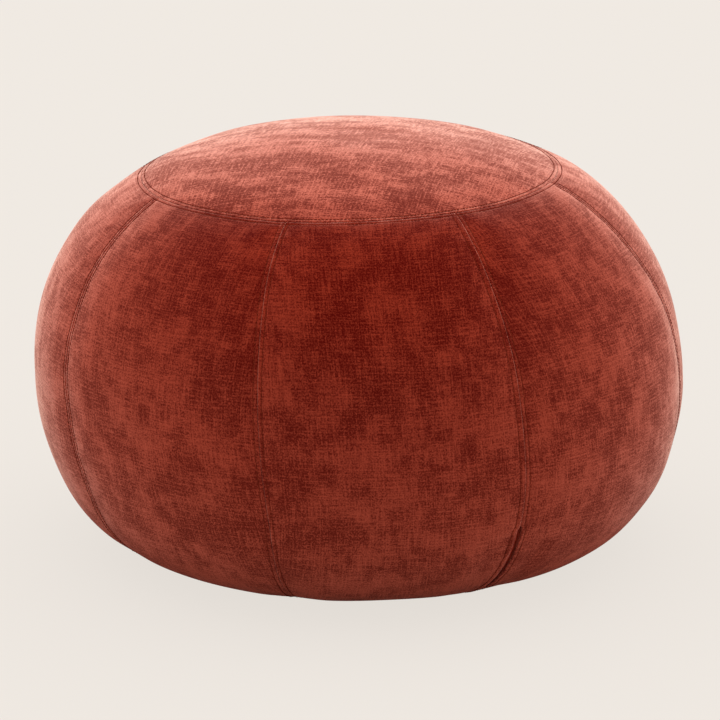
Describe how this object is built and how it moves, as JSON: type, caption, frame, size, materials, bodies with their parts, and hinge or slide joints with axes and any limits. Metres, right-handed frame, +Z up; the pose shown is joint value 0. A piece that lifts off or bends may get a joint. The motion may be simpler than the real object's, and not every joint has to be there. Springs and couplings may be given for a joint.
{
  "type": "floor cushion",
  "caption": "Round stuffed floor cushion: sewn velvet side gores between a crowned top and a flat base, with a short filling zip low in one seam",
  "frame": {"origin": "centre of the underside, on the floor", "axes": "+Z up; -Y is the front, where the picture was taken from; +X to the right seen from the front"},
  "size_m": [0.5492, 0.5492, 0.35],
  "materials": {
    "velvet": "matte",
    "thread": "satin",
    "zip_tape": "matte",
    "zip_coil": "satin",
    "zip_metal": "satin",
    "calico": "matte",
    "filling": "matte"
  },
  "bodies": {
    "cushion": {"base_panel": "velvet", "bead_fill": "filling", "liner_base": "calico", "liner_side": "calico", "liner_top": "calico", "side_gore_1": "velvet", "side_gore_2": "velvet", "side_gore_3": "velvet", "side_gore_4": "velvet", "side_gore_5": "velvet", "side_gore_6": "velvet", "side_gore_7": "velvet", "side_gore_8": "velvet", "top_panel": "velvet", "topstitch_ring_gores": "thread", "topstitch_ring_panel": "thread", "topstitch_seam_1_left": "thread", "topstitch_seam_1_right": "thread", "topstitch_seam_2_left": "thread", "topstitch_seam_2_right": "thread", "topstitch_seam_3_left": "thread", "topstitch_seam_3_right": "thread", "topstitch_seam_4_left": "thread", "topstitch_seam_4_right": "thread", "topstitch_seam_5_left": "thread", "topstitch_seam_5_right": "thread", "topstitch_seam_6_left": "thread", "topstitch_seam_6_right": "thread", "topstitch_seam_7_left": "thread", "topstitch_seam_7_right": "thread", "topstitch_seam_8_left": "thread", "topstitch_seam_8_right": "thread", "zip_bottom_stop": "zip_metal", "zip_coil_left": "zip_coil", "zip_coil_right": "zip_coil", "zip_tape_left": "zip_tape", "zip_tape_right": "zip_tape", "zip_top_stop": "zip_metal"},
    "slider": {"zip_slider": "zip_metal"},
    "pull": {"zip_pull": "zip_metal"}
  },
  "joints": [
    {"name": "zip_travel", "type": "hinge", "parent": "cushion", "child": "slider", "pos_m": [0.07517, -0.13449, 0.113], "axis": [-0.8729, -0.4879, 0], "range_deg": [0, 48.5]},
    {"name": "pull_swing", "type": "hinge", "parent": "slider", "child": "pull", "pos_m": [0.09523, -0.1704, 0.0112], "axis": [-0.8729, -0.4879, 0], "range_deg": [0, 150]}
  ]
}
